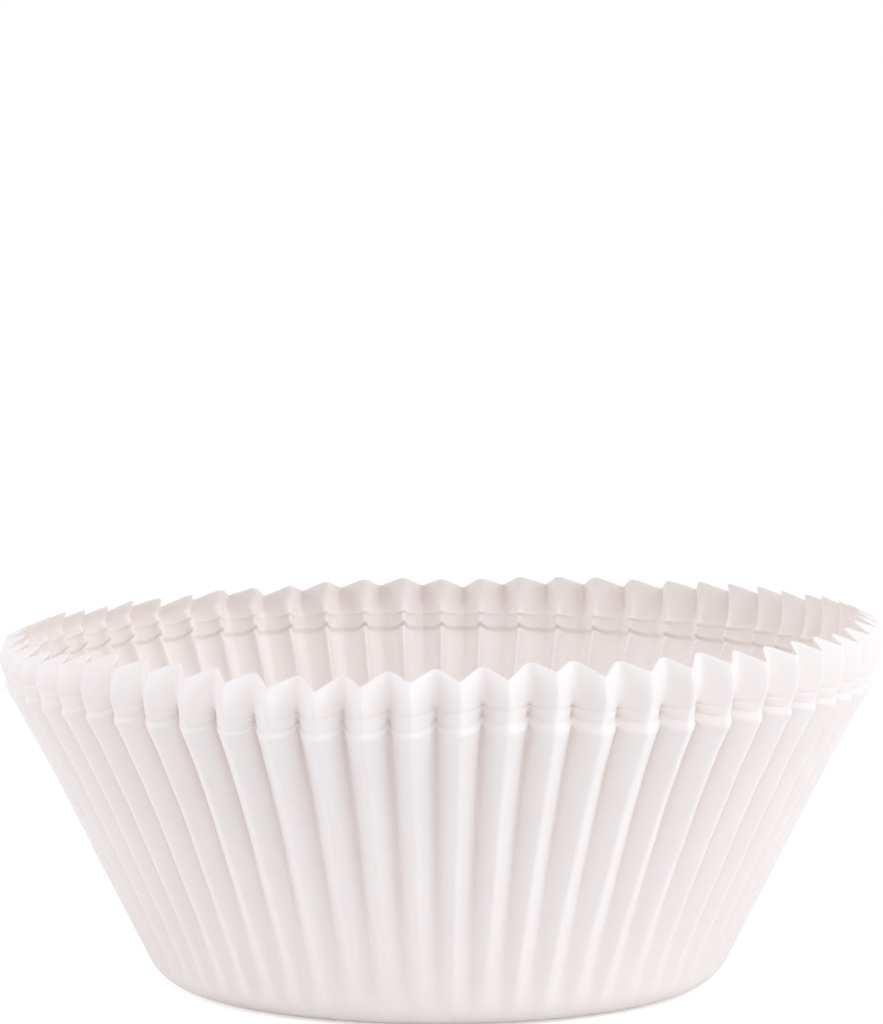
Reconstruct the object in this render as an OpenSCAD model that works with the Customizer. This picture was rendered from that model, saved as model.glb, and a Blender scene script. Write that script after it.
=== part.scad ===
// Cupcake liner: one round sheet of greaseproof paper, pressed into a pleated cup.
// The disc keeps its length along every pleat, so the folds have to take up the paper that
// the smaller circles of the cup leave over. That alone sets how deep each pleat is.

/* [Base] */
// Diameter of the base, measured where the line of the wall meets the table
base_d = 50; // [40:0.5:60]
// Radius of the bend from the flat base up into the wall
foot_radius = 4; // [2.5:0.1:5]

/* [Wall] */
// Height at which the wall ends in a corner and the crimped band begins
wall_h = 27; // [20:0.1:36]
// Lean of the wall from upright, in degrees
wall_lean = 26.6; // [18:0.1:34]
// How far the corner at the top of the wall stands out from the wall's straight line
corner_out = 0.4; // [0:0.05:0.8]
// Number of pleats round the cup
pleats = 62; // [44:1:76]

/* [Crimped band] */
// Number of creases pressed round the band
creases = 2; // [1:1:3]
// Height from the corner to the first crease
first_crease = 0.45; // [0.3:0.05:0.8]
// Height from one crease to the next
crease_pitch = 1.15; // [0.7:0.05:1.5]
// How far a crease is pressed in on a ridge; it is pressed in twice as far in a groove
crease_depth = 0.14; // [0.05:0.01:0.25]
// Lean of the band from upright, in degrees
band_lean = 9; // [0:1:18]
// How level the creases run: 0 follows the paper up into each groove, 1 is quite level
band_level = 0.8; // [0:0.05:1]

/* [Rim] */
// Height of the rim above the last crease
rim_h = 2.75; // [1.8:0.05:4]
// Lean of the rim from upright, from its foot to its edge, in degrees
rim_lean = -2; // [-6:1:15]
// How far the middle of the rim bulges out
rim_bulge = 0.3; // [0:0.05:0.6]

/* [Pleat section] */
// Where the bend in each side of a pleat lies, as a share of the way from ridge to groove
bend_at = 0.72; // [0.55:0.01:0.85]
// Depth of that bend on the wall, as a share of the pleat's depth
wall_bend = 0.61; // [0.5:0.01:0.8]
// Depth of that bend on the rim, as a share of the pleat's depth
rim_bend = 0.82; // [0.7:0.01:0.95]

/* [Paper] */
// Thickness of the paper
paper_t = 0.08; // [0.05:0.01:0.15]

/* [Hidden] */

// Rings of points that the bend, the wall and the rim are drawn with
foot_steps = 2;
wall_steps = 3;
rim_steps = 2;

// A cup has whole pleats and whole creases
pleat_count = round(pleats);
crease_count = round(creases);

// The bend starts where its circle touches the table, and turns until it lies along the wall
foot_turn = 90 - wall_lean;
flat_r = base_d / 2 - foot_radius * tan(foot_turn / 2);
foot_r = flat_r + foot_radius * sin(foot_turn);
foot_h = foot_radius * (1 - cos(foot_turn));
corner_r = base_d / 2 + wall_h * tan(wall_lean) + corner_out;
band_h = first_crease + (crease_count - 1) * crease_pitch;
band_r = corner_r + band_h * tan(band_lean);

// Outline of the ridges, from the table up. Each ring is its radius, its height, the lean of the
// paper there, the depth of the bend in the sides of its pleats, how level it runs, and how far
// it is pressed in.
function foot_ring(share) =
    let(turn = foot_turn * share)
    [flat_r + foot_radius * sin(turn), foot_radius * (1 - cos(turn)), 90 - turn, wall_bend, 0, 0];

// The wall is straight for most of its height, and swells out below the corner
function wall_ring(share) =
    [foot_r + (corner_r - corner_out - foot_r) * share + corner_out * pow(share, 6),
     foot_h + (wall_h - foot_h) * share, wall_lean, wall_bend, band_level * pow(share, 3), 0];

// A whole number of steps is a crease of the band, and a half step is the crest between two
function band_ring(step) =
    let(height = first_crease + step * crease_pitch, is_crease = step == floor(step))
    [corner_r + height * tan(band_lean), wall_h + height, wall_lean, wall_bend, band_level,
     is_crease ? crease_depth : 0];

function rim_ring(share) =
    [band_r + share * rim_h * tan(rim_lean) + rim_bulge * 4 * share * (1 - share),
     wall_h + band_h + share * rim_h, wall_lean, rim_bend, band_level * (1 - share), 0];

rings = concat(
    [for (i = [0 : foot_steps]) foot_ring(i / foot_steps)],
    [for (i = [1 : wall_steps]) wall_ring(i / wall_steps)],
    [for (i = [0 : 2 * (crease_count - 1)]) band_ring(i / 2)],
    [for (i = [1 : rim_steps]) rim_ring(i / rim_steps)]
);
ring_count = len(rings);

// Distance of each ring from the middle of the flat disc, measured along the paper
function along_paper(i) =
    i == 0 ? rings[0][0]
           : along_paper(i - 1)
             + norm([rings[i][0] - rings[i - 1][0], rings[i][1] - rings[i - 1][1]]);

paper_r = [for (i = [0 : ring_count - 1]) along_paper(i)];

// Half a pleat is a right triangle: its long side is the paper, one short side is half the
// pitch round the ring, and the other is the depth that is left
function pleat_depth(i) =
    PI / pleat_count * sqrt(max(0, paper_r[i] * paper_r[i] - rings[i][0] * rings[i][0]));

// The inner skin is moved in further where the sides of the pleats are steep, so that the paper
// is as thick across them as it is on the flat base
function skin_shift(i) = paper_t * paper_r[i] / rings[i][0];

// Four points make a pleat: the ridge, a bend, the groove and the other bend. Each is a place in
// half pitches and whether it lies at the ridge (0), at a bend (1) or at the groove (2).
pleat_points = [[0, 0], [bend_at, 1], [1, 2], [2 - bend_at, 1]];
points_round = pleat_count * len(pleat_points);

function depth_share(kind, bend) = kind == 0 ? 0 : kind == 1 ? bend : 1;

// A point of ring i. It is moved in from the ridge line, square to the wall, by its share of the
// pleat's depth, and then slides down the wall as far as the ring runs level.
function ring_point(i, k, skin) =
    let(corner = pleat_points[k % len(pleat_points)],
        turn = (floor(k / len(pleat_points)) + corner[0] / 2) * 360 / pleat_count,
        share = depth_share(corner[1], rings[i][3]),
        moved = share * pleat_depth(i) + skin * skin_shift(i),
        slid = share * pleat_depth(i) * sin(rings[i][2]) * rings[i][4],
        pressed = rings[i][5] * (1 + share),
        radius = rings[i][0] - pressed - moved * cos(rings[i][2]) - slid * tan(wall_lean))
    [radius * cos(turn), radius * sin(turn), rings[i][1] + moved * sin(rings[i][2]) - slid];

function skin_points(skin) =
    [for (i = [0 : ring_count - 1]) for (k = [0 : points_round - 1]) ring_point(i, k, skin)];

// Index of a point: its skin (0 outside, 1 inside), its ring and its place round the ring
function at(skin, i, k) = (skin * ring_count + i) * points_round + k % points_round;

function strip(a, b, c, d) = [[a, b, c], [a, c, d]];

function wall_faces(skin) =
    [for (i = [0 : ring_count - 2]) for (k = [0 : points_round - 1])
        each skin == 0
            ? strip(at(0, i, k), at(0, i + 1, k), at(0, i + 1, k + 1), at(0, i, k + 1))
            : strip(at(1, i, k), at(1, i, k + 1), at(1, i + 1, k + 1), at(1, i + 1, k))];

rim_faces = [for (k = [0 : points_round - 1])
    each strip(at(0, ring_count - 1, k), at(1, ring_count - 1, k),
               at(1, ring_count - 1, k + 1), at(0, ring_count - 1, k + 1))];

// The base is a fan of triangles round a middle point, which each skin has after all its rings
middles = [[0, 0, 0], [0, 0, paper_t]];
first_middle = 2 * ring_count * points_round;

base_faces = concat(
    [for (k = [0 : points_round - 1]) [first_middle, at(0, 0, k), at(0, 0, k + 1)]],
    [for (k = [0 : points_round - 1]) [first_middle + 1, at(1, 0, k + 1), at(1, 0, k)]]
);

module liner() {
    color("#f5efea")
    polyhedron(
        points = concat(skin_points(0), skin_points(1), middles),
        faces = concat(base_faces, wall_faces(0), wall_faces(1), rim_faces),
        convexity = 10
    );
}

liner();
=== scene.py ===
"""A white cupcake liner on a pale table: one sheet of greaseproof paper, pleated and crimped."""
import math

import bpy
import numpy as np
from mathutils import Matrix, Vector


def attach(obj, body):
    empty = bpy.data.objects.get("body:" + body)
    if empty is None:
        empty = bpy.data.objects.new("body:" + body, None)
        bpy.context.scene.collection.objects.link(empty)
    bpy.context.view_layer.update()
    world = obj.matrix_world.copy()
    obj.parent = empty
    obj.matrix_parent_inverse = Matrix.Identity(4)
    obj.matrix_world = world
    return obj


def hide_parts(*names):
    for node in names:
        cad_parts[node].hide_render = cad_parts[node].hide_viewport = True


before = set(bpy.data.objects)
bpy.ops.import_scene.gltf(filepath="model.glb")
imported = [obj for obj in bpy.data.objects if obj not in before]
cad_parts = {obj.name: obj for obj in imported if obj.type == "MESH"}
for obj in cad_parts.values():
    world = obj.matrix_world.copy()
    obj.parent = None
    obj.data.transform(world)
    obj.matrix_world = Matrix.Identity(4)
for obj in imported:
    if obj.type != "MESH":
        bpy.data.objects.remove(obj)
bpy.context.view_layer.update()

# The camera stands in front of the liner and a little above it, as a photographer at a table
# does. It looks over the rim, so the liner lies low in the frame.
FRAME_WIDTH_PX = 883
FRAME_HEIGHT_PX = 1024
LENS_PX = 4436.0
CAMERA_DISTANCE = 0.400
CAMERA_RISE = math.radians(8.5)
AIMED_AT = Vector((0.0, 0.0, 0.016))
AIMED_AT_PX = (438.5, 798.3)
SENSOR_MM = 36.0

away = Vector((0.0, -math.cos(CAMERA_RISE), math.sin(CAMERA_RISE)))
# The line of sight is turned until the liner's middle falls on its own place in the frame
turned_up = math.atan((AIMED_AT_PX[1] - FRAME_HEIGHT_PX / 2) / LENS_PX)
turned_right = math.atan((FRAME_WIDTH_PX / 2 - AIMED_AT_PX[0]) / LENS_PX)

camera_data = bpy.data.cameras.new("table_camera")
camera_data.sensor_fit = "VERTICAL"
camera_data.sensor_height = SENSOR_MM
camera_data.lens = LENS_PX / FRAME_HEIGHT_PX * SENSOR_MM
camera_data.clip_start = 0.01
camera = bpy.data.objects.new("table_camera", camera_data)
camera.location = AIMED_AT + away * CAMERA_DISTANCE
camera.rotation_euler = (math.pi / 2 - CAMERA_RISE + turned_up, 0.0, -turned_right)
bpy.context.scene.collection.objects.link(camera)
bpy.context.scene.camera = camera


# The liner is one disc of greaseproof paper, pressed in a die into a flat base, a pleated wall,
# a crimped band and a flared rim. Nothing holds it but its folds, so the pleats take up all the
# paper that the cup's smaller circles leave over. Its sizes are in millimetres.
MM = 0.001
BASE_RADIUS = 25.0
FOOT_RADIUS = 4.0
WALL_LEAN = math.radians(26.6)
WALL_HEIGHT = 26.85
PLEATS = 62
PAPER = 0.08
FIRST_RIDGE = math.radians(-0.45)

# Points of half a pleat, as shares of the way from its ridge to the middle of its groove. They
# lie closer where the paper bends more, and from the last of them on the groove's floor is flat.
GROOVE_FLOOR = 0.958
HALF_PLEAT = [0.0, 0.08, 0.2, 0.5, 0.76, 0.88, GROOVE_FLOOR]
# Rings of points: radii on the base, numbers of even steps on the foot and the wall, and heights
# on the band and the rim. The wall's last ring lies this far below the band's first.
BASE_RINGS = [12.0, 18.0, 21.2]
FOOT_RINGS = 8
WALL_RINGS = 14
BELOW_BAND = 0.35
BAND_HEIGHTS = [26.3, 26.55, 26.7, 26.8, 26.88, 26.98, 27.1, 27.22, 27.32, 27.4, 27.48, 27.6, 27.8,
                28.1, 28.4, 28.54, 28.62, 28.7, 28.84, 29.05]
RIM_HEIGHTS = [29.35, 29.7, 30.1, 30.5, 30.9, 31.16, 31.33]

# The ridge line above the straight wall: it swells to a small lip, stands nearly upright in the
# band, and the rim bulges out and turns in again at its edge. Heights and radii of a smooth line.
RIDGE_LINE = ([20.0, 22.5, 24.5, 25.8, 26.4, 26.85, 27.2, 27.7, 28.2, 28.8, 29.5, 30.3, 31.33],
              [35.02, 36.32, 37.39, 38.12, 38.49, 38.75, 38.72, 38.76, 38.88, 39.14, 39.38, 39.38,
               39.10])
# How far the groove's paper lies above the ridge's: the die's creases are nearly level, and the
# cut edge isn't. Heights and rises of a smooth line. In the band it is more on the left.
GROOVE_RISE = ([26.85, 27.45, 27.9, 28.62, 29.0, 31.33], [0.62, 0.68, 0.54, 0.38, 0.38, 0.90])
GROOVE_RISE_LEFT = 0.35
# In the band the rise comes late on the way from ridge to groove, by this power
RISE_POWER = 2.6
RIM_GROOVE_DEPTH = 1.80
# The lip and the two creases over it: the height of each, half its width, and how deep it is
# pressed in on a ridge and in a groove. The lip stands out in the grooves, and isn't pressed in.
CREASES = [(26.95, 0.13, 0.0, -0.20), (27.38, 0.11, 0.04, 0.20), (28.62, 0.10, 0.05, 0.22)]
# A groove is pressed deepest along its bottom: this share of a crease follows a high power
CREASE_BOTTOM = 0.3
CREASE_POWER = 4

# How round the folds are, as a share of half a pleat. The rim's ridges are sharper by this much.
RIDGE_ROUND = 0.13
RIDGE_SHARPER = 0.07
GROOVE_ROUND = 0.18
# The wall's grooves end in a narrow slit: this share of the depth follows a high power. The
# share is less lower down, where the folds were pressed less hard.
SLIT_AT_FOOT = 0.10
SLIT_AT_TOP = 0.22
SLIT_POWER = 7
# Heights from which and up to which the sheet changes over, in the order in which it does
FOLDS_BEGIN = (0.1, 3.5)
WAVES_BEGIN = (1.0, 6.0)
PLEATS_SHARPEN = (2.0, 13.0)
SLITS_DEEPEN = (8.0, WALL_HEIGHT)
GROOVES_DRAWN_DOWN = (12.0, WALL_HEIGHT)
COLLAR_BEGINS = (22.0, WALL_HEIGHT)
RIDGES_SHARPEN = (27.5, 29.6)
GROOVES_ROUND_OFF = (28.0, 29.6)
RIM_BEGINS = (28.6, RIM_HEIGHTS[-1])
COLLAR_ENDS = (29.0, 31.0)

# How the sheet lies a little unevenly, as a pressed liner does: the rim is higher and wider on
# the right, and the pleats crowd a little at both sides, more so on the right
RIM_RISE_RIGHT = 0.84
RIM_OUT_RIGHT = 0.34
PLEAT_CROWDING = math.radians(0.9)
CROWDING_EVEN = 0.6
CROWDING_RIGHT = 0.7
# Lift of the rim's tips at the front, from left to right, where single pleats stand out
FRONT_TIPS = [0.52, 0.34, 0.22, -0.01, -0.19, -0.49, -0.75, -0.32, -0.02, -0.01, 0.03, 0.51,
              -0.11, 0.04]
FIRST_FRONT_TIP = 38
# The die's marks run in slow waves. At these angles to the right of the front, the lip and the
# two creases lie this far above their even height, and the shift starts that high on the wall.
BAND_ANGLES = [-50, -42, -35, -22, -14, -5, 3, 9, 14, 22, 35, 50, 110, 250]
BAND_SHIFTS = [
    (26.85, [-0.34, -0.38, -0.52, -0.62, -0.56, -0.32, 0, 0.12, -0.05, -0.35, -0.4, 0, 0, 0]),
    (27.38, [-0.34, -0.36, -0.6, -0.7, -0.6, -0.38, 0.08, 0.44, 0.4, 0.05, 0.05, 0.12, 0, 0]),
    (28.62, [-0.72, -0.76, -1.1, -1.05, -0.56, -0.34, 0.15, 0.3, 0.25, -0.25, -0.36, -0.3, 0, 0]),
]
SHIFTS_BEGIN = 18
# Spread of the small accidents: a fold's place as a share of a pitch, a pleat's depth as a share,
# the lift of its tip, and the height of the waves along each fold, which have three lengths
PLACE_SPREAD = 0.02
DEPTH_SPREAD = 0.03
TIP_SPREAD = 0.14
WAVE_HEIGHT = 0.02
WAVE_LENGTHS = (19.0, 11.0, 6.5)
# Seeded, so that each run gives the same liner
uneven = np.random.default_rng(7)


def smooth_step(value, start, end):
    """0 before start, 1 after end, and a smooth S between them."""
    share = np.clip((value - start) / (end - start), 0, 1)
    return share * share * (3 - 2 * share)


def smooth_line(x, knots):
    """Cubic pieces through the knots. A knot's slope is the mean of its neighbours' slopes."""
    at, value = (np.array(k) for k in knots)
    slope = np.gradient(value, at)
    i = np.clip(np.searchsorted(at, x) - 1, 0, len(at) - 2)
    gap = at[i + 1] - at[i]
    t = np.clip((x - at[i]) / gap, 0, 1)
    return (value[i] * (2 * t ** 3 - 3 * t ** 2 + 1) + value[i + 1] * (3 * t ** 2 - 2 * t ** 3)
            + gap * (slope[i] * (t ** 3 - 2 * t ** 2 + t) + slope[i + 1] * (t ** 3 - t ** 2)))


def ridge_outline():
    """Radius, height and lean of the ridges at each ring, from the base's middle to the rim.

    The base is flat, the foot is an arc that turns until it lies along the wall, the wall is
    straight, and the band and the rim follow the ridge line.
    """
    turn = math.pi / 2 - WALL_LEAN
    flat = BASE_RADIUS - FOOT_RADIUS * math.tan(turn / 2)
    arc = np.linspace(0, turn, FOOT_RINGS + 1)
    foot_r = flat + FOOT_RADIUS * np.sin(arc)
    foot_z = FOOT_RADIUS * (1 - np.cos(arc))
    wall_z = np.linspace(foot_z[-1], BAND_HEIGHTS[0] - BELOW_BAND, WALL_RINGS + 1)[1:]
    upper_z = np.concatenate([wall_z, BAND_HEIGHTS, RIM_HEIGHTS])
    straight = BASE_RADIUS + upper_z * math.tan(WALL_LEAN)
    upper_r = np.where(upper_z < RIDGE_LINE[0][0], straight, smooth_line(upper_z, RIDGE_LINE))
    radius = np.concatenate([BASE_RINGS, foot_r, upper_r])
    height = np.concatenate([np.zeros(len(BASE_RINGS)), foot_z, upper_z])
    lean = np.concatenate([np.full(len(BASE_RINGS), math.pi / 2), math.pi / 2 - arc,
                           np.full(len(upper_z), WALL_LEAN)])
    return radius, height, lean


def pleat_side(from_ridge, height):
    """How far in a place on a pleat's side lies: 0 on the ridge line and 1 on the groove line.

    From a ridge on, the depth is the root of the way's square plus the roundness's square, so
    the ridge is round and the side is straight. On the wall, a share of the depth follows a high
    power of that, which leaves a narrow slit that is deeper further up. On the rim, the groove
    is rounded as a ridge is. At the foot, the side is half a wave of a cosine.
    """
    ridge_round = RIDGE_ROUND - RIDGE_SHARPER * smooth_step(height, *RIDGES_SHARPEN)
    even = (np.sqrt(from_ridge ** 2 + ridge_round ** 2) - ridge_round) / (
        np.sqrt(1 + ridge_round ** 2) - ridge_round)
    slit = SLIT_AT_FOOT + (SLIT_AT_TOP - SLIT_AT_FOOT) * smooth_step(height, *SLITS_DEEPEN)
    on_wall = (1 - slit) * even + slit * even ** SLIT_POWER
    on_rim = 1 - (np.sqrt((1 - even) ** 2 + GROOVE_ROUND ** 2) - GROOVE_ROUND) / (
        math.sqrt(1 + GROOVE_ROUND ** 2) - GROOVE_ROUND)
    at_foot = 0.5 - 0.5 * np.cos(math.pi * from_ridge)
    share = at_foot + (on_wall - at_foot) * smooth_step(height, *PLEATS_SHARPEN)
    return share + (on_rim - share) * smooth_step(height, *GROOVES_ROUND_OFF)


def groove_line(radius, height, lean, paper):
    """How far in from the ridge line, and how far up from it, the groove line lies at each ring.

    A groove's depth is what is left over when half a pleat's paper is laid over half its pitch:
    pi through the number of pleats, times the root of the paper's square less the radius's
    square. The groove lies in by that depth, square to the wall. Further up it slides down along
    the wall, until it lies above the ridge by the groove's rise. Above the wall its way in runs
    in a straight line to the depth at the rim's edge, and its way up follows the groove's rise.
    """
    left_over = math.pi / PLEATS * np.sqrt(np.maximum(paper ** 2 - radius ** 2, 0))
    depth = left_over * smooth_step(height, *FOLDS_BEGIN)
    at_corner = np.interp(WALL_HEIGHT, height[:, 0], depth[:, 0])
    too_high = at_corner * math.sin(WALL_LEAN) - GROOVE_RISE[1][0]
    slid = too_high * smooth_step(height, *GROOVES_DRAWN_DOWN)
    inward = depth * np.cos(lean) + slid * math.tan(WALL_LEAN)
    upward = depth * np.sin(lean) - slid

    corner_in = np.interp(WALL_HEIGHT, height[:, 0], inward[:, 0])
    above = height >= WALL_HEIGHT
    way_up = np.clip((height - WALL_HEIGHT) / (RIM_HEIGHTS[-1] - WALL_HEIGHT), 0, 1)
    inward = np.where(above, corner_in + (RIM_GROOVE_DEPTH - corner_in) * way_up, inward)
    upward = np.where(above, smooth_line(height, GROOVE_RISE), upward)
    return inward, upward


def between_folds(at_folds, fold):
    """Values at the ridges and grooves in turn, carried in straight lines to places between."""
    last_fold = fold.astype(int)
    beyond = fold - last_fold
    following = np.take(at_folds, (last_fold + 1) % (2 * PLEATS), axis=-1)
    return np.atleast_2d(np.take(at_folds, last_fold, axis=-1) * (1 - beyond) + following * beyond)


def mark_shift(height, turn):
    """How far the die's marks lie above their even height: each mark's shift at that angle,
    which fades in a straight line to nothing at the next mark up and down.
    """
    degrees_right = np.degrees(turn) + 90
    marks = [SHIFTS_BEGIN] + [mark for mark, _ in BAND_SHIFTS] + [RIM_HEIGHTS[-1]]
    shift = 0
    for (_, at_angles), below, mark, over in zip(BAND_SHIFTS, marks, marks[1:], marks[2:]):
        near = np.clip(np.minimum((height - below) / (mark - below),
                                  (over - height) / (over - mark)), 0, 1)
        shift = shift + near * np.interp(degrees_right, BAND_ANGLES, at_angles, period=360)
    return shift


def tip_lift(fold):
    """How far each place of the rim's edge is lifted: its pleat's tip by a random draw, or at the
    front by its own lift, and a groove by the mean of the tips beside it.
    """
    tips = uneven.normal(0, TIP_SPREAD, PLEATS)
    tips[FIRST_FRONT_TIP:FIRST_FRONT_TIP + len(FRONT_TIPS)] = FRONT_TIPS
    at_grooves = (tips + np.roll(tips, -1)) / 2
    return between_folds(np.stack([tips, at_grooves], axis=-1).ravel(), fold)


def liner_skin():
    """Points of the outer skin in millimetres, as a grid of rings by places round them. Also how
    far each ring lies from the disc's middle along the paper, and each place's angle.

    Each ring runs from a ridge to the next groove and back. A point is the ridge line's point
    moved towards the groove line by its share of the pleat's side. Then the creases press it in,
    and the waves, the shifts and the lifts of an uneven sheet move it a little.
    """
    radius, height, lean = (a[:, None] for a in ridge_outline())
    paper = radius[0] + np.concatenate(
        [[[0.0]], np.cumsum(np.hypot(np.diff(radius, axis=0), np.diff(height, axis=0)), axis=0)])

    half = np.array(HALF_PLEAT)
    place = np.concatenate([half, [1.0], 2 - half[:0:-1]])
    from_ridge = np.tile(np.where(place > 1, 2 - place, place), PLEATS)[None, :]
    from_ridge = np.minimum(from_ridge / GROOVE_FLOOR, 1)
    pleat = np.repeat(np.arange(PLEATS), len(place))
    fold = pleat * 2 + np.tile(place, PLEATS)

    turn = (fold / 2)[None, :] * math.tau / PLEATS + FIRST_RIDGE
    right = np.sin(turn + math.pi / 2)
    crowding = PLEAT_CROWDING * (CROWDING_EVEN + CROWDING_RIGHT * right)
    crowded = turn + crowding * np.sin(2 * (turn + math.pi / 2))
    nudge = between_folds(uneven.normal(0, PLACE_SPREAD, 2 * PLEATS), fold) * math.tau / PLEATS
    turned = crowded + nudge

    share = pleat_side(from_ridge, height)
    inward, upward = groove_line(radius, height, lean, paper)
    fullness = share * (1 + uneven.normal(0, DEPTH_SPREAD, PLEATS)[pleat][None, :])
    out = radius - inward * fullness
    on_collar = smooth_step(height, *COLLAR_BEGINS) * (1 - smooth_step(height, *COLLAR_ENDS))
    rise_share = fullness + (fullness ** RISE_POWER - fullness) * on_collar
    up = height + (upward - GROOVE_RISE_LEFT * right * on_collar) * rise_share
    for crease, half_width, on_ridge, in_groove in CREASES:
        valley = np.exp(-((height - crease) / half_width) ** 2)
        to_groove = (1 - CREASE_BOTTOM) * share + CREASE_BOTTOM * share ** CREASE_POWER
        out = out - valley * (on_ridge + (in_groove - on_ridge) * to_groove)

    phase = uneven.uniform(0, math.tau, (len(WAVE_LENGTHS), 1, 2 * PLEATS))
    waves = sum(WAVE_HEIGHT * np.sin(paper * math.tau / length + phase[i])
                for i, length in enumerate(WAVE_LENGTHS))
    out = out + between_folds(waves, fold) * smooth_step(height, *WAVES_BEGIN)

    on_rim = smooth_step(height, *RIM_BEGINS)
    up = up + mark_shift(height, turn) + (RIM_RISE_RIGHT * right + tip_lift(fold)) * on_rim
    out = out + RIM_OUT_RIGHT * right * on_rim
    return np.stack([out * np.cos(turned), out * np.sin(turned), up], axis=-1), paper, turn


def grid_normals(points):
    """Unit normals of a closed ring grid: the cross product of its two tangents, outwards."""
    around = np.roll(points, -1, axis=1) - np.roll(points, 1, axis=1)
    along = np.gradient(points, axis=0)
    normal = np.cross(around, along)
    return normal / np.linalg.norm(normal, axis=-1, keepdims=True)


# The wall's streaks are drawn on a drum of this radius that the wall is rolled round
DRUM_RADIUS = 30


def liner_mesh():
    """The two skins of the paper, joined at the rim's cut edge and closed by a point in the
    middle of the base. The inner skin is the outer one moved in by the paper's thickness.
    """
    outer, paper, turn = liner_skin()
    inner = outer - grid_normals(outer) * PAPER
    rings, places, _ = outer.shape
    middles = np.array([[0, 0, 0], [0, 0, PAPER]], float)
    points = np.concatenate([outer.reshape(-1, 3), inner.reshape(-1, 3), middles]) * MM

    # Indices of the outer skin's points. An inner point comes as far after its outer one as
    # there are points in a skin, and the two middles come last.
    skin = rings * places
    index = np.arange(skin).reshape(rings, places)
    next_place = np.roll(index, -1, axis=1)
    quads = np.stack([index[:-1], next_place[:-1], next_place[1:], index[1:]],
                     axis=-1).reshape(-1, 4)
    inside = quads[:, ::-1] + skin
    edge = np.stack([index[-1], next_place[-1], next_place[-1] + skin, index[-1] + skin], axis=-1)
    under = np.stack([np.full(places, 2 * skin), next_place[0], index[0]], axis=-1)
    over = np.stack([np.full(places, 2 * skin + 1), index[0] + skin, next_place[0] + skin],
                    axis=-1)
    faces = [*quads.tolist(), *inside.tolist(), *edge.tolist(), *under.tolist(), *over.tolist()]

    mesh = bpy.data.meshes.new("paper_liner")
    mesh.from_pydata(points.tolist(), [], faces)
    smooth = np.ones(len(faces), bool)
    first_edge = len(quads) * 2
    smooth[first_edge:first_edge + places] = False
    mesh.polygons.foreach_set("use_smooth", smooth)

    # The flat sheet's own coordinates, in metres, so that its fibres follow the folds
    flat = np.stack([paper * np.cos(turn), paper * np.sin(turn)], axis=-1).reshape(-1, 2) * MM
    flat = np.concatenate([flat, flat, np.zeros((2, 2))])
    corners = np.empty(len(mesh.loops), int)
    mesh.loops.foreach_get("vertex_index", corners)
    sheet = mesh.uv_layers.new(name="flat_sheet")
    sheet.data.foreach_set("uv", flat[corners].ravel())

    # Places on the drum: two numbers give the way round, and the third the way up the paper
    drum = np.stack(np.broadcast_arrays(DRUM_RADIUS * np.cos(turn), DRUM_RADIUS * np.sin(turn),
                                        paper), axis=-1).reshape(-1, 3) * MM
    drum = np.concatenate([drum, drum, np.zeros((2, 3))])
    mesh.attributes.new("drum", "FLOAT_VECTOR", "POINT").data.foreach_set("vector", drum.ravel())
    mesh.update()
    return mesh


liner = bpy.data.objects.new("paper_liner", liner_mesh())
bpy.context.scene.collection.objects.link(liner)


def linear(hex_colour):
    """sRGB hex to the linear colour that the shader takes: (c + 0.055) / 1.055 to the 2.4."""
    channels = [int(hex_colour[i:i + 2], 16) / 255 for i in (1, 3, 5)]
    return tuple(((c + 0.055) / 1.055) ** 2.4 if c > 0.04045 else c / 12.92
                 for c in channels) + (1.0,)


def add_node(tree, kind, links=(), **settings):
    """Adds a node. Settings name its properties or its inputs. Each link is the name or the
    number of an input and the output socket that feeds it.
    """
    node = tree.nodes.new(kind)
    for name, value in settings.items():
        if hasattr(node, name):
            setattr(node, name, value)
        else:
            node.inputs[name.replace("_", " ")].default_value = value
    for name, socket in links:
        tree.links.new(node.inputs[name], socket)
    return node


# Greaseproof paper: beaten wood pulp, calendered but not coated. It is matte and a warm white,
# lets some light through, and shows a faint cloudiness and fine streaks down the pleats.
PAPER_DARKEST = "#f5f0ef"
PAPER_LIGHTEST = "#fdf9f8"
LET_THROUGH = "#fdebde"
SHARE_LET_THROUGH = 0.36
PAPER_ROUGHNESS = 0.85
# Sizes of the clouds, the fibres and the streaks. A streak is this many times as long as wide.
CLOUD_MM = 2.2
FIBRE_MM = 0.25
STREAK_MM = 0.7
STREAK_LENGTH = 14
GRAIN_HEIGHT = 0.00005
GRAIN_STRENGTH = 0.12
# A Mix node has sockets for each kind of value. These are the numbers of those for colours.
COLOUR_A, COLOUR_B, MIXED_COLOUR = 6, 7, 2

paper_white = bpy.data.materials.new("greaseproof_paper")
paper_white.use_nodes = True
tree = paper_white.node_tree
tree.nodes.clear()
sheet_place = add_node(tree, "ShaderNodeUVMap", uv_map="flat_sheet")
drum_place = add_node(tree, "ShaderNodeAttribute", attribute_name="drum")
cloud = add_node(tree, "ShaderNodeTexNoise", [("Vector", sheet_place.outputs[0])],
                 Scale=1 / (CLOUD_MM * MM), Detail=3.0, Roughness=0.6)
long_way = add_node(tree, "ShaderNodeMapping", [("Vector", drum_place.outputs["Vector"])],
                    Scale=(1, 1, 1 / STREAK_LENGTH))
streak = add_node(tree, "ShaderNodeTexNoise", [("Vector", long_way.outputs[0])],
                  Scale=1 / (STREAK_MM * MM), Detail=2.0, Roughness=0.55)
blotch = add_node(tree, "ShaderNodeMix",
                  [("A", cloud.outputs["Fac"]), ("B", streak.outputs["Fac"])], Factor=0.5)
tint = add_node(tree, "ShaderNodeMix", [("Factor", blotch.outputs["Result"])], data_type="RGBA")
tint.inputs[COLOUR_A].default_value = linear(PAPER_DARKEST)
tint.inputs[COLOUR_B].default_value = linear(PAPER_LIGHTEST)
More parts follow.
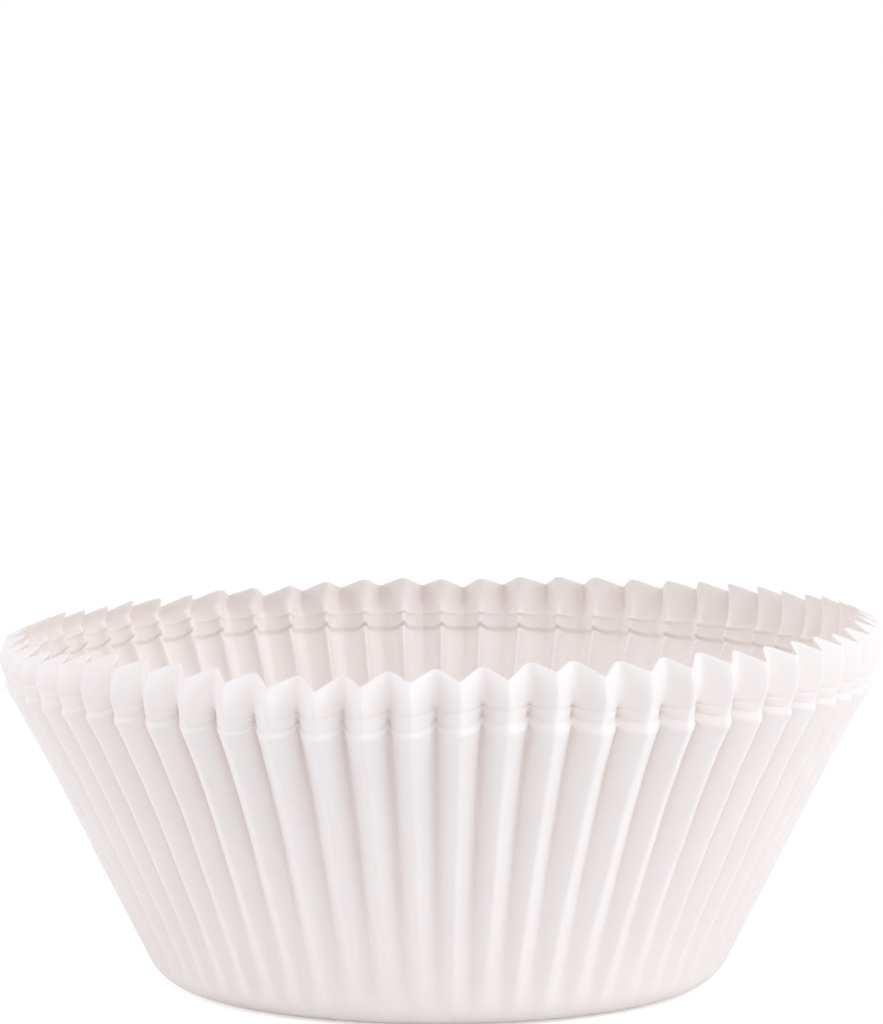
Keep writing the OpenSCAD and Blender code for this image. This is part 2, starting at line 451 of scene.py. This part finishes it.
fibre = add_node(tree, "ShaderNodeTexNoise", [("Vector", sheet_place.outputs[0])],
                 Scale=1 / (FIBRE_MM * MM), Detail=2.0, Roughness=0.5)
grain = add_node(tree, "ShaderNodeBump", [("Height", fibre.outputs["Fac"])],
                 Strength=GRAIN_STRENGTH, Distance=GRAIN_HEIGHT)
sheen = add_node(tree, "ShaderNodeBsdfPrincipled",
                 [("Base Color", tint.outputs[MIXED_COLOUR]), ("Normal", grain.outputs[0])],
                 Roughness=PAPER_ROUGHNESS, IOR=1.45)
let_through = add_node(tree, "ShaderNodeBsdfTranslucent", Color=linear(LET_THROUGH))
paper_shader = add_node(tree, "ShaderNodeMixShader",
                        [(1, sheen.outputs[0]), (2, let_through.outputs[0])],
                        Fac=SHARE_LET_THROUGH)
add_node(tree, "ShaderNodeOutputMaterial", [("Surface", paper_shader.outputs[0])])
liner.data.materials.append(paper_white)

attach(liner, "root")
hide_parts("liner")


# The table: a plain white surface, wide enough to have no edge in view. The camera sees it as
# white, and it keeps the liner's shadow. It lies a hair below the paper, so that light which
# passes through the liner's base comes back.
TABLE_SIZE = 3.0
TABLE_DROP = 0.00005
TABLE_WHITE = "#fbfbfb"
TABLE_GLOW = 0.45


def sees_backdrop(tree):
    """1 for a ray from the camera, from a shiny surface or through clear glass, which shows the
    backdrop. 0 for the light that falls on a piece, also where it comes through paper.
    """
    ray = add_node(tree, "ShaderNodeLightPath")
    camera_or_shine = add_node(
        tree, "ShaderNodeMath", operation="MAXIMUM",
        links=[(0, ray.outputs["Is Camera Ray"]), (1, ray.outputs["Is Glossy Ray"])])
    glass = add_node(
        tree, "ShaderNodeMath", operation="SUBTRACT", use_clamp=True,
        links=[(0, ray.outputs["Is Transmission Ray"]), (1, ray.outputs["Is Diffuse Ray"])])
    either = add_node(tree, "ShaderNodeMath", operation="MAXIMUM",
                      links=[(0, camera_or_shine.outputs[0]), (1, glass.outputs[0])])
    return either.outputs[0]


table_mesh = bpy.data.meshes.new("table")
half_table = TABLE_SIZE / 2
table_mesh.from_pydata([(-half_table, -half_table, 0), (half_table, -half_table, 0),
                        (half_table, half_table, 0), (-half_table, half_table, 0)],
                       [], [(0, 1, 2, 3)])
table = bpy.data.objects.new("table", table_mesh)
table.location.z = -TABLE_DROP
bpy.context.scene.collection.objects.link(table)

# A smooth white board with no pattern of its own
table_white = bpy.data.materials.new("white_table")
table_white.use_nodes = True
tree = table_white.node_tree
tree.nodes.clear()
plain = add_node(tree, "ShaderNodeBsdfDiffuse", Color=linear(TABLE_WHITE))
glow = add_node(tree, "ShaderNodeEmission", Color=linear("#ffffff"), Strength=TABLE_GLOW)
seen = add_node(tree, "ShaderNodeAddShader", [(0, plain.outputs[0]), (1, glow.outputs[0])])
shown = add_node(tree, "ShaderNodeMixShader",
                 [("Fac", sees_backdrop(tree)), (1, plain.outputs[0]), (2, seen.outputs[0])])
add_node(tree, "ShaderNodeOutputMaterial", [("Surface", shown.outputs[0])])
table_mesh.materials.append(table_white)


# The light of a white studio: soft boxes at both sides and one high in front, in a pale room.
# It is a little cool, and the paper warms what comes through it.
STUDIO_LIGHT = "#ecf6fe"
SOFTBOX_DISTANCE = 0.9
SOFTBOX_SIZE = 0.7
ROOM_STRENGTH = 0.635


def softbox(name, azimuth, rise, watts):
    """A square lamp that looks at the liner. Azimuth is from the front, to the right."""
    data = bpy.data.lights.new(name, "AREA")
    data.size = SOFTBOX_SIZE
    data.energy = watts
    data.color = linear(STUDIO_LIGHT)[:3]
    lamp = bpy.data.objects.new(name, data)
    a, e = math.radians(azimuth), math.radians(rise)
    towards = Vector((math.sin(a) * math.cos(e), -math.cos(a) * math.cos(e), math.sin(e)))
    lamp.location = AIMED_AT + towards * SOFTBOX_DISTANCE
    lamp.rotation_euler = towards.to_track_quat("Z", "Y").to_euler()
    bpy.context.scene.collection.objects.link(lamp)


softbox("right_softbox", azimuth=70, rise=18, watts=3.7)
softbox("left_softbox", azimuth=-80, rise=18, watts=3.5)
softbox("front_softbox", azimuth=20, rise=55, watts=4.0)

world = bpy.data.worlds.new("white_studio")
world.use_nodes = True
tree = world.node_tree
tree.nodes.clear()
room = add_node(tree, "ShaderNodeBackground", Color=linear(STUDIO_LIGHT), Strength=ROOM_STRENGTH)
backdrop = add_node(tree, "ShaderNodeBackground", Color=linear("#ffffff"), Strength=1.0)
shown = add_node(tree, "ShaderNodeMixShader",
                 [("Fac", sees_backdrop(tree)), (1, room.outputs[0]), (2, backdrop.outputs[0])])
add_node(tree, "ShaderNodeOutputWorld", [("Surface", shown.outputs[0])])
bpy.context.scene.world = world
bpy.context.scene.view_settings.view_transform = "Standard"
